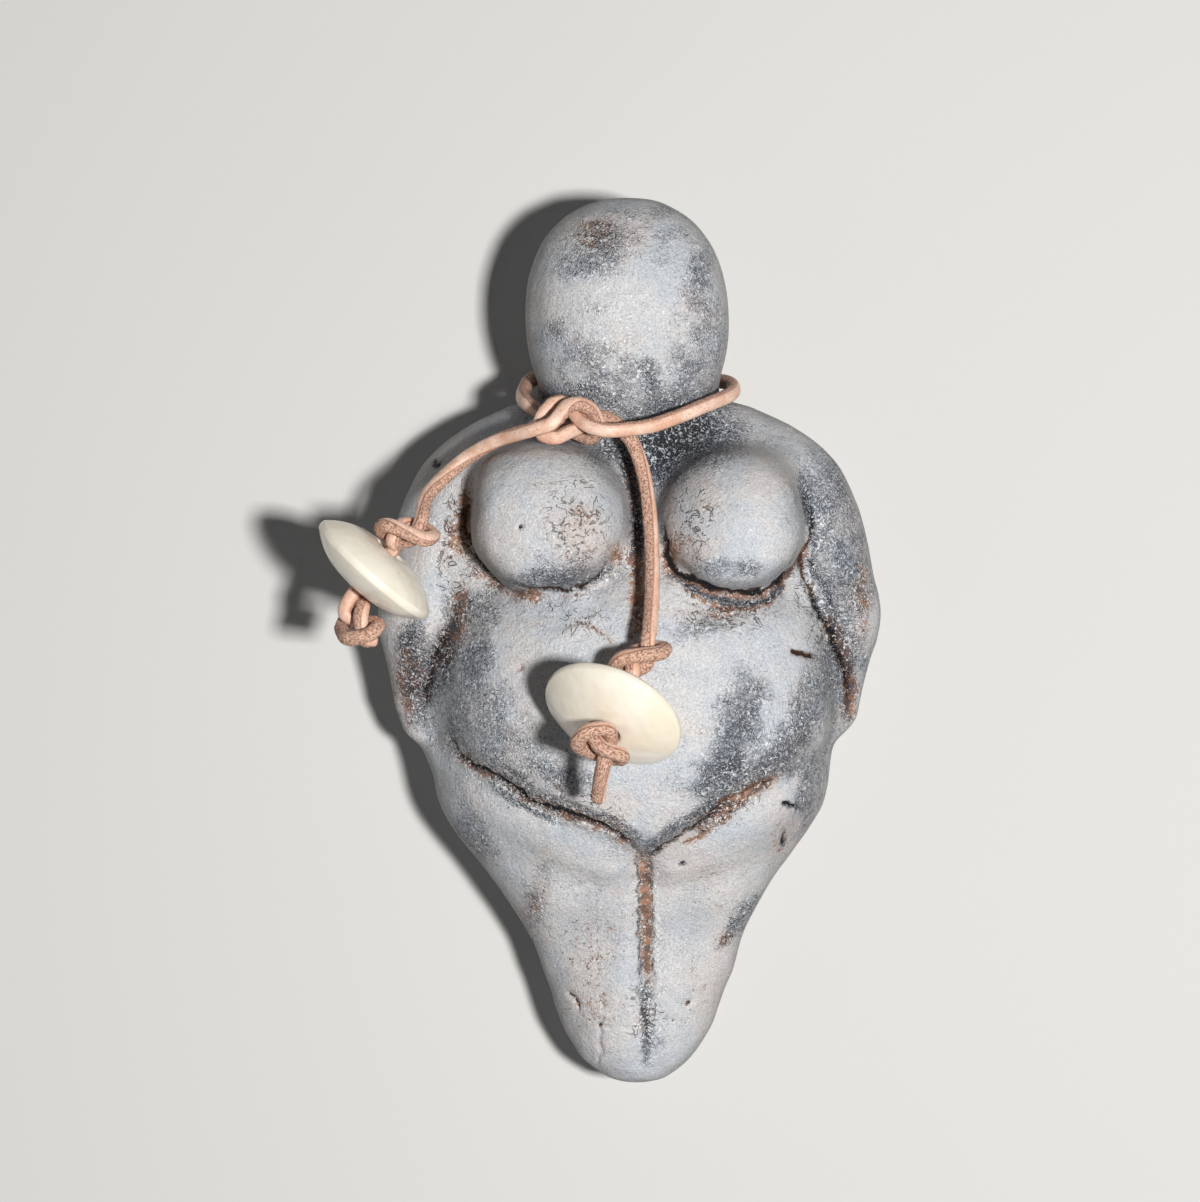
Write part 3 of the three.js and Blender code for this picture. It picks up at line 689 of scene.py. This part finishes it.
# Where the skin is wrinkled
WRINKLED = [
    (patch((-3.5, 40.5), (4, 2.4)), 0.6),
    (patch((3.6, 19.2), (3.4, 2.2)), 1),
    (patch((-5.2, 12.2), (3.2, 4.6)), 1),
    (patch((6.2, 12.6), (2.6, 3.8)), 0.9),
    (patch((-6, 2.6), (5.4, 2.4)), 0.6),
    (patch((-17.5, 7.5), (2, 5)), 0.7),
    (patch((-16.2, 1), (2.4, 4)), 0.9),
    (patch((-22, -2), (1.8, 5)), 0.9),
    (patch((9.6, 2.6), (5, 1.4)), 1),
    (patch((18, 4), (1.4, 6), 15), 0.9),
    (patch((-6, -16), (7, 1.8), -20), 0.9),
    (patch((9, -16.6), (6, 1.6), 28), 0.9),
    (patch((1.7, -37), (2.4, 4)), 0.8),
    (patch((11, -27.7), (3, 1.1), 54), 1),
    (patch((-17.2, 12), (1.8, 4)), 0.8),
]

WOBBLES = ((2.6, 4, 0.3), (0.9, 5, 0.27))  # (size, seed, mm) of the noise that lines stray by
# Heights of a normal between which the surface begins to count as the front, or the back
FRONT_FACING = (0.02, 0.3)
BACK_FACING = (-0.1, 0.4)
# Steep sides are painted darker grey: painted shade, where the light falls off at the sides
STEEP = (0.1, 0.9)  # and between which it stops being a flank

# The back has the same paint, plainer: grime where the surface is hollow by so many mm,
GRIMY_HOLLOW = (0.02, 0.3)
GRIMY_BROWN = 0.6  # strength of the brown and of the dark mask there
GRIMY_DARK = 0.4
# and thin dark paint where this noise is high
WORN_NOISE = ((9, 12, 1), (3, 13, 0.6))
WORN_PATCH = (-0.2, 0.9)
WORN_BROWN = 0.2
WORN_DARK = 0.42


def front_masks(points, normals):
    """Where each point is seen, its lines strayed a little, and how much it faces the front."""
    places = seen_from_above(points)
    for size, seed, far in WOBBLES:
        stray = [fine_noise(points, size, seed + n / 2) for n in range(2)]
        places = places + far * np.stack(stray, axis=1)
    return places, smooth(*FRONT_FACING, normals[:, 2])


def total(masks, places, front):
    """The sum of some masks at their strengths, on the front."""
    return sum(mask(places) * strength for mask, strength in masks) * front


def covered(masks, places, front):
    """The share that some masks cover, laid one over another, on the front."""
    left = np.ones(len(places))
    for mask, strength in masks:
        left *= 1 - np.clip(mask(places) * strength, 0, 1)
    return (1 - left) * front


SMOOTHING_ROUNDS = 40


def hollowness(obj, points, normals):
    """How far each point lies in a hollow of the surface around it, in mm."""
    edges = np.empty(len(obj.data.edges) * 2, np.int32)
    obj.data.edges.foreach_get("vertices", edges)
    a, b = edges.reshape(-1, 2).T
    near = np.bincount(a, minlength=len(points)) + np.bincount(b, minlength=len(points))
    level = points.copy()
    for _ in range(SMOOTHING_ROUNDS):
        around = np.zeros_like(level)
        for axis in range(3):
            for here, there in ((a, b), (b, a)):
                around[:, axis] += np.bincount(here, level[there, axis], len(points))
        level = (level + around / near[:, None]) / 2
    return np.sum((level - points) * normals, axis=1)


MERGE_WITHIN = 0.01
QUAD_ANGLE = math.radians(60)
DIVISIONS = 2  # of the whole surface,
DIVIDED_PAST = (0.06, 0.22)  # once more where the relief is deeper than this, and once again
UNEVEN = ((3.2, 8, 0.03), (1, 9, 0.018))  # (size, seed, mm) of the noise that lifts the surface
STILL_BELOW = 0.6  # mm above the floor, where the surface begins to move
HOLLOW_GAIN = 2.5  # from mm of hollowness to its mask
PROUD_GAIN = 3
DEEPEST = 0.5


def divide_where(obj, chosen):
    """Divides once more the faces that have a chosen corner."""
    active(obj)
    bpy.ops.object.mode_set(mode="EDIT")
    bpy.ops.mesh.select_mode(type="FACE")
    bpy.ops.mesh.select_all(action="DESELECT")
    bpy.ops.object.mode_set(mode="OBJECT")
    mesh = obj.data
    mesh.polygons.foreach_set("select", [
        any(chosen[corner] for corner in face.vertices) for face in mesh.polygons])
    bpy.ops.object.mode_set(mode="EDIT")
    bpy.ops.mesh.subdivide(number_cuts=1, smoothness=0.6, ngon=False, quadcorner="INNERVERT")
    bpy.ops.object.mode_set(mode="OBJECT")


def make_figurine(node):
    figure = bpy.data.objects.new("figurine_cast", node.data.copy())
    bpy.context.scene.collection.objects.link(figure)
    figure.data.materials.clear()
    edit_all(
        figure,
        lambda: bpy.ops.mesh.remove_doubles(threshold=MERGE_WITHIN * MM),
        lambda: bpy.ops.mesh.tris_convert_to_quads(
            face_threshold=QUAD_ANGLE, shape_threshold=QUAD_ANGLE))
    subdivide(figure, DIVISIONS)
    points, _ = surface(figure)
    places = seen_from_above(points)
    in_front = smooth(*FRONT_ABOVE, points[:, 2])
    for mask, goal, far in NUDGES:
        way = goal - places
        way /= np.linalg.norm(way, axis=1)[:, None]
        points[:, :2] += way * (mask(places) * in_front * far)[:, None]
    for mask, far in SWELLS:
        points[:, 2] += mask(places) * in_front * far
    move_points(figure, points * MM)

    for least in DIVIDED_PAST:
        points, normals = surface(figure)
        places, front = front_masks(points, normals)
        busy = sum(abs(depth) * mask(places) for mask, depth in RELIEF) * front
        divide_where(figure, busy > least)

    points, normals = surface(figure)
    places, front = front_masks(points, normals)
    depth = total(RELIEF, places, front)
    rough = laid_noise(points, UNEVEN)
    above = smooth(0, STILL_BELOW, points[:, 2])[:, None]
    move_points(figure, (points + normals * (rough - depth)[:, None] * above) * MM)
    active(figure)
    bpy.ops.object.shade_smooth()

    points, normals = surface(figure)
    hollow = hollowness(figure, points, normals)
    keep_mask(figure, "hollow", hollow * HOLLOW_GAIN)
    keep_mask(figure, "proud", -hollow * PROUD_GAIN)
    behind = smooth(*BACK_FACING, -normals[:, 2])
    grimy = behind * smooth(*GRIMY_HOLLOW, hollow)
    worn = behind * smooth(*WORN_PATCH, laid_noise(points, WORN_NOISE))
    brown = covered(BROWN, places, front)
    dark = covered(DARK, places, front)
    keep_mask(figure, "brown", brown + behind * (GRIMY_BROWN * grimy + WORN_BROWN * worn))
    keep_mask(figure, "dark", dark + GRIMY_DARK * grimy + WORN_DARK * worn)
    keep_mask(figure, "pale", covered(PALE, places, front))
    keep_mask(figure, "wrinkled", covered(WRINKLED, places, front))
    keep_mask(figure, "deep", depth / DEEPEST)
    # painted shade on the steep sides
    keep_mask(figure, "flank_shade", 1 - smooth(*STEEP, abs(normals[:, 2])))
    return figure


# Materials

def colour(red, green, blue):
    """A colour as it is seen, 0 to 255, as the linear one that a shader takes."""
    shares = [value / 255 for value in (red, green, blue)]
    return (*[s / 12.92 if s < 0.04 else ((s + 0.055) / 1.055) ** 2.4 for s in shares], 1)


def plug(tree, node, key, value):
    """Puts a value, or another node's output, on one of a node's inputs."""
    if isinstance(value, bpy.types.NodeSocket):
        tree.links.new(value, node.inputs[key])
    else:
        node.inputs[key].default_value = value


def add(tree, kind, inputs=None, **settings):
    """A shader node with its settings, and values or other nodes' outputs on its inputs."""
    node = tree.nodes.new(kind)
    for key, value in settings.items():
        setattr(node, key, value)
    for key, value in (inputs or {}).items():
        plug(tree, node, key, value)
    return node


def noise_of(tree, vector, scale, detail=3.0, roughness=0.55, distortion=0.0):
    return add(tree, "ShaderNodeTexNoise", {
        "Vector": vector, "Scale": scale, "Detail": detail, "Roughness": roughness,
        "Distortion": distortion}).outputs["Fac"]


def sums(tree, operation, a, b=0.0, c=0.0):
    return add(tree, "ShaderNodeMath", {0: a, 1: b, 2: c}, operation=operation).outputs[0]


def between(tree, value, low, high):
    """0 below low, 1 above high and smooth between them."""
    return add(
        tree, "ShaderNodeMapRange", {"Value": value, "From Min": low, "From Max": high},
        interpolation_type="SMOOTHSTEP").outputs["Result"]


def blended(tree, share, below, above, way="MIX"):
    node = add(tree, "ShaderNodeMix", data_type="RGBA", blend_type=way)
    for key, value in ((0, share), (6, below), (7, above)):
        plug(tree, node, key, value)
    return node.outputs[2]


def mask_of(tree, name):
    return add(tree, "ShaderNodeAttribute", attribute_name=name).outputs["Fac"]


def new_material(name, **shader_values):
    material = bpy.data.materials.new(name)
    material.use_nodes = True
    shader = material.node_tree.nodes["Principled BSDF"]
    for key, value in shader_values.items():
        shader.inputs[key.replace("_", " ")].default_value = value
    return material, material.node_tree, shader


def scaled(tree, place, scale):
    return add(tree, "ShaderNodeMapping", {"Vector": place, "Scale": scale}).outputs[0]


def in_millimetres(tree):
    place = add(tree, "ShaderNodeTexCoord").outputs["Object"]
    return scaled(tree, place, (1 / MM, 1 / MM, 1 / MM))


def bump(tree, height, distance):
    return add(
        tree, "ShaderNodeBump", {"Height": height, "Distance": distance * MM}).outputs["Normal"]


LINE_FINENESS = 1.7  # winding lines in a millimetre of the cast's fine relief
GRAIN_FINENESS = 3.2
WRINKLE_FINENESS = 0.7
NONE_AT = 0.05  # height up to which paint settles where its amount is 0,
ALL_AT = 0.85  # and where it is 1


def fine_relief_group():
    """Height of the cast's fine relief at a place in mm, 0 in the middle of its winding lines."""
    tree = bpy.data.node_groups.new("fine relief", "ShaderNodeTree")
    tree.interface.new_socket("Place", in_out="INPUT", socket_type="NodeSocketVector")
    tree.interface.new_socket("Height", in_out="OUTPUT", socket_type="NodeSocketFloat")
    place = tree.nodes.new("NodeGroupInput").outputs["Place"]
    winding = noise_of(tree, place, LINE_FINENESS, 2, 0.6, 1.5)
    lines = sums(tree, "ABSOLUTE", sums(tree, "SUBTRACT", winding, 0.5))
    lines = sums(tree, "MINIMUM", sums(tree, "MULTIPLY", lines, 8.0), 1.0)
    grain = between(tree, noise_of(tree, place, GRAIN_FINENESS, 3, 0.7, 0.4), 0.3, 0.7)
    height = sums(tree, "MULTIPLY_ADD", lines, 0.68, sums(tree, "MULTIPLY", grain, 0.32))
    tree.links.new(height, tree.nodes.new("NodeGroupOutput").inputs["Height"])
    return tree


def settled_group():
    """The share of the surface that paint covers where it settles in low places."""
    tree = bpy.data.node_groups.new("settled in low places", "ShaderNodeTree")
    for name in ("Height", "Amount", "Softness"):
        tree.interface.new_socket(name, in_out="INPUT", socket_type="NodeSocketFloat")
    tree.interface.new_socket("Cover", in_out="OUTPUT", socket_type="NodeSocketFloat")
    given = tree.nodes.new("NodeGroupInput").outputs
    edge = sums(tree, "MULTIPLY_ADD", given["Amount"], ALL_AT - NONE_AT, NONE_AT)
    low = sums(tree, "SUBTRACT", edge, given["Softness"])
    high = sums(tree, "ADD", edge, given["Softness"])
    clear = between(tree, given["Height"], low, high)
    cover = sums(tree, "SUBTRACT", 1.0, clear)
    tree.links.new(cover, tree.nodes.new("NodeGroupOutput").inputs["Cover"])
    return tree


def wrinkles_group():
    """Short winding wrinkles at a place in mm, 1 in the middle of each."""
    tree = bpy.data.node_groups.new("wrinkles", "ShaderNodeTree")
    tree.interface.new_socket("Place", in_out="INPUT", socket_type="NodeSocketVector")
    tree.interface.new_socket("Line", in_out="OUTPUT", socket_type="NodeSocketFloat")
    place = tree.nodes.new("NodeGroupInput").outputs["Place"]
    winding = noise_of(tree, place, WRINKLE_FINENESS, 2, 0.5, 1.0)
    away = sums(tree, "ABSOLUTE", sums(tree, "SUBTRACT", winding, 0.5))
    line = sums(tree, "SUBTRACT", 1.0, between(tree, away, 0.0, 0.04))
    broken = between(tree, noise_of(tree, place, WRINKLE_FINENESS * 1.6, 2), 0.44, 0.56)
    line = sums(tree, "MULTIPLY", line, broken)
    tree.links.new(line, tree.nodes.new("NodeGroupOutput").inputs["Line"])
    return tree


def grouped(tree, group, output, **inputs):
    node = add(tree, "ShaderNodeGroup", node_tree=group)
    for name, value in inputs.items():
        plug(tree, node, name, value)
    return node.outputs[output]


def painted_cast():
    """Matt pale blue-grey paint, dark paint left in the hollows and rust-brown grime."""
    material, tree, shader = new_material("painted cast")
    place = in_millimetres(tree)
    height = grouped(tree, fine_relief_group(), "Height", Place=place)
    settled = settled_group()
    dark, brown, pale = (mask_of(tree, name) for name in ("dark", "brown", "pale"))
    hollow, proud, deep = (mask_of(tree, name) for name in ("hollow", "proud", "deep"))
    flank_shade = mask_of(tree, "flank_shade")
    pepper = noise_of(tree, place, 5.5, 2, 0.7)

    cloud = between(tree, noise_of(tree, place, 0.2, 4, 0.6), 0.38, 0.62)
    paint = blended(tree, cloud, colour(200, 204, 209), colour(214, 213, 213))
    warm = between(tree, noise_of(tree, place, 0.16, 3, 0.6, 0.3), 0.48, 0.66)
    paint = blended(tree, sums(tree, "MULTIPLY", warm, 0.6), paint, colour(216, 207, 202))
    # steep sides painted darker grey, as painted shade
    paint = blended(tree, sums(tree, "MULTIPLY", flank_shade, 0.6), paint, colour(128, 124, 122))
    shade = blended(
        tree, between(tree, pepper, 0.3, 0.7), colour(216, 218, 222), colour(255, 255, 255))
    paint = blended(tree, 1.0, paint, shade, "MULTIPLY")

    wash = sums(tree, "MULTIPLY", between(tree, dark, 0.02, 0.8), 0.3)
    paint = blended(tree, wash, paint, colour(112, 128, 152))
    stain = sums(tree, "MULTIPLY", brown, 0.55)
    paint = blended(tree, stain, paint, colour(164, 134, 108))

    # brown grime first, so that the dark strokes lie over it
    patches = between(tree, noise_of(tree, place, 0.9, 4, 0.7, 0.6), 0.3, 0.7)
    uneven = sums(tree, "MULTIPLY_ADD", patches, 0.4, sums(tree, "MULTIPLY", height, 0.6))
    grime = grouped(
        tree, settled, "Cover", Height=uneven, Softness=0.07,
        Amount=sums(tree, "MULTIPLY", brown, 0.95))
    hue = between(tree, noise_of(tree, place, 1.1, 3), 0.4, 0.62)
    rust = blended(tree, hue, colour(88, 57, 40), colour(154, 107, 77))
    paint = blended(tree, sums(tree, "MULTIPLY", grime, 0.85), paint, rust)

    wrinkle = grouped(tree, wrinkles_group(), "Line", Place=place)
    wrinkle = sums(tree, "MULTIPLY", wrinkle, between(tree, mask_of(tree, "wrinkled"), 0.1, 0.7))
    paint = blended(
        tree, sums(tree, "MULTIPLY", between(tree, wrinkle, 0.3, 0.9), 0.6), paint,
        colour(96, 76, 62))

    # dark paint in the winding lines: thin and grey, or thick and blue-black
    lumpy = between(tree, noise_of(tree, place, 0.45, 3, 0.6), 0.36, 0.64)
    amount = sums(tree, "MULTIPLY_ADD", lumpy, 0.12, 0.01)
    amount = sums(tree, "MULTIPLY_ADD", dark, 0.72, amount)
    amount = sums(tree, "MULTIPLY_ADD", hollow, 0.12, amount)
    amount = sums(tree, "SUBTRACT", amount, sums(tree, "MULTIPLY", proud, 0.1))
    strokes = grouped(tree, settled, "Cover", Height=height, Amount=amount, Softness=0.045)
    ink = blended(tree, between(tree, amount, 0.35, 0.8), colour(76, 87, 106), colour(8, 11, 22))
    paint = blended(tree, sums(tree, "MULTIPLY", strokes, 0.9), paint, ink)

    # the cuts themselves are brown, or black where there is dark paint
    broken = sums(tree, "SUBTRACT", deep, sums(tree, "MULTIPLY", height, 0.3))
    pit = blended(tree, between(tree, dark, 0.45, 0.8), colour(78, 48, 30), colour(16, 18, 26))
    paint = blended(tree, between(tree, broken, 0.26, 0.42), paint, pit)

    middling = sums(tree, "MULTIPLY", dark, sums(tree, "SUBTRACT", 1.1, dark))
    near = sums(
        tree, "MULTIPLY_ADD", middling, 0.6, sums(tree, "MULTIPLY_ADD", pale, 0.6, -0.07))
    near = sums(tree, "MULTIPLY_ADD", brown, 0.16, near)
    near = sums(tree, "MULTIPLY_ADD", deep, -0.3, near)
    near = sums(tree, "MULTIPLY", near, between(tree, lumpy, 0, 0.6))
    flecks = grouped(
        tree, settled, "Cover", Height=sums(tree, "SUBTRACT", 1.0, height), Amount=near,
        Softness=0.05)
    paint = blended(tree, sums(tree, "MULTIPLY", flecks, 0.75), paint, colour(232, 237, 242))
    tree.links.new(paint, shader.inputs["Base Color"])

    tree.links.new(sums(tree, "MULTIPLY_ADD", height, -0.3, 0.85), shader.inputs["Roughness"])
    lumps = noise_of(tree, place, 0.8, 3, 0.6)
    depth = sums(tree, "MULTIPLY_ADD", between(tree, amount, 0.08, 0.5), 1.3, 0.12)
    relief = sums(tree, "MULTIPLY", height, depth)
    relief = sums(tree, "MULTIPLY_ADD", lumps, 0.8, relief)
    relief = sums(tree, "MULTIPLY_ADD", pepper, 0.12, relief)
    relief = sums(tree, "MULTIPLY_ADD", wrinkle, -0.8, relief)
    tree.links.new(bump(tree, relief, 0.3), shader.inputs["Normal"])
    return material


def leather():
    """Pinkish tan grain side with a soft shine, and dull salt-and-pepper suede."""
    material, tree, shader = new_material("leather lace")
    along = add(tree, "ShaderNodeAttribute", attribute_name="laid_straight").outputs["Vector"]
    suede = mask_of(tree, "suede")
    cloud = between(tree, noise_of(tree, along, 0.45, 3), 0.34, 0.66)
    smooth_side = blended(tree, cloud, colour(220, 176, 151), colour(240, 208, 190))
    drawn_out = scaled(tree, along, (0.3, 1, 1))
    streaks = between(tree, noise_of(tree, drawn_out, 3, 3, 0.7), 0.45, 0.75)
    smooth_side = blended(
        tree, sums(tree, "MULTIPLY", streaks, 0.3), smooth_side, colour(182, 126, 98))
    grain = noise_of(tree, along, 4.5, 3, 0.75, 0.3)
    pores = sums(tree, "SUBTRACT", 1.0, between(tree, grain, 0.36, 0.5))
    smooth_side = blended(
        tree, sums(tree, "MULTIPLY", pores, 0.45), smooth_side, colour(170, 116, 90))
    # the grain side darker towards its edges, where the suede begins: painted shade of the lace's
    # rounded sides
    smooth_side = blended(tree, between(tree, suede, 0.02, 0.5), smooth_side, colour(158, 102, 78))
    rough_side = blended(
        tree, between(tree, grain, 0.36, 0.6), colour(138, 96, 78), colour(224, 184, 162))
    flecks = between(tree, noise_of(tree, along, 7, 2, 0.6), 0.6, 0.7)
    rough_side = blended(
        tree, sums(tree, "MULTIPLY", flecks, 0.7), rough_side, colour(244, 218, 200))
    edge = between(tree, sums(tree, "MULTIPLY_ADD", grain, 0.5, suede), 0.55, 0.9)
    tree.links.new(blended(tree, edge, smooth_side, rough_side), shader.inputs["Base Color"])
    tree.links.new(sums(tree, "MULTIPLY_ADD", edge, 0.45, 0.44), shader.inputs["Roughness"])
    height = sums(tree, "MULTIPLY", sums(tree, "MULTIPLY_ADD", edge, 0.8, 0.25), grain)
    height = sums(tree, "MULTIPLY_ADD", noise_of(tree, along, 7, 2), 0.1, height)
    tree.links.new(bump(tree, height, 0.16), shader.inputs["Normal"])
    return material


def ivory_bead():
    """Polished cream with faint yellowish clouds."""
    material, tree, shader = new_material(
        "ivory bead", Roughness=0.26, Coat_Weight=0.25, Coat_Roughness=0.1,
        Subsurface_Weight=0.1, Subsurface_Scale=0.002)
    shader.inputs["Subsurface Radius"].default_value = (1, 0.8, 0.6)
    place = in_millimetres(tree)
    cloud = between(tree, noise_of(tree, place, 0.2, 3, 0.5, 0.4), 0.4, 0.7)
    cream = blended(tree, cloud, colour(242, 235, 221), colour(236, 225, 203))
    spots = between(tree, noise_of(tree, place, 0.5, 2), 0.7, 0.78)
    cream = blended(tree, sums(tree, "MULTIPLY", spots, 0.5), cream, colour(222, 178, 120))
    tree.links.new(cream, shader.inputs["Base Color"])
    lumps = noise_of(tree, place, 0.35, 2)
    tree.links.new(bump(tree, lumps, 0.2), shader.inputs["Normal"])
    return material


def floor_material():
    material, _, shader = new_material("pale floor", Roughness=0.85)
    shader.inputs["Base Color"].default_value = colour(206, 205, 203)
    return material


# Floor and light

FLOOR_SIZE = 3000


def make_floor():
    bpy.ops.object.select_all(action="DESELECT")
    bpy.ops.mesh.primitive_plane_add(size=FLOOR_SIZE * MM)
    floor = bpy.context.object
    floor.name = "floor"
    floor.data.materials.append(floor_material())


# name: (place in mm, size in mm, watts, colour); each faces the figure
LIGHTS = {
    "key": ((140, -20, 520), 45, 3.4, (1, 0.99, 0.97)),
    "fill": ((-420, -60, 330), 420, 0.165, (0.95, 0.97, 1)),
    "low": ((120, -420, 180), 300, 0.08, (1, 1, 1)),
}
SKY = (0.55, 0.57, 0.6, 1)
SKY_STRENGTH = 0.08


def make_lights():
    for name, (place, size, watts, tint) in LIGHTS.items():
        data = bpy.data.lights.new(name, "AREA")
        data.size = size * MM
        data.energy = watts
        data.color = tint
        light = bpy.data.objects.new(name, data)
        light.location = Vector(place) * MM
        light.rotation_mode = "QUATERNION"
        towards = Vector((0, 0, OUTLINE_HEIGHT)) - Vector(place)
        light.rotation_quaternion = towards.to_track_quat("-Z", "Y")
        bpy.context.scene.collection.objects.link(light)
    world = bpy.data.worlds.new("soft grey")
    world.use_nodes = True
    world.node_tree.nodes["Background"].inputs["Color"].default_value = SKY
    world.node_tree.nodes["Background"].inputs["Strength"].default_value = SKY_STRENGTH
    bpy.context.scene.world = world
    bpy.context.scene.view_settings.view_transform = "Standard"


# The pieces, each on the part's body and in the place of its node

def place_piece(obj, node, material):
    obj.data.materials.append(material)
    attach(obj, "root")
    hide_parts(node)
    return obj


make_camera()
lace, lace_path, lace_length = make_lace()
place_piece(lace, "thong", leather())
ivory = ivory_bead()
beads = [
    place_piece(make_bead("ivory_left", LEFT_BEAD), "bead_left", ivory),
    place_piece(make_bead("ivory_right", RIGHT_BEAD), "bead_right", ivory),
]
place_piece(make_figurine(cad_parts["figurine"]), "figurine", painted_cast())
make_floor()
make_lights()
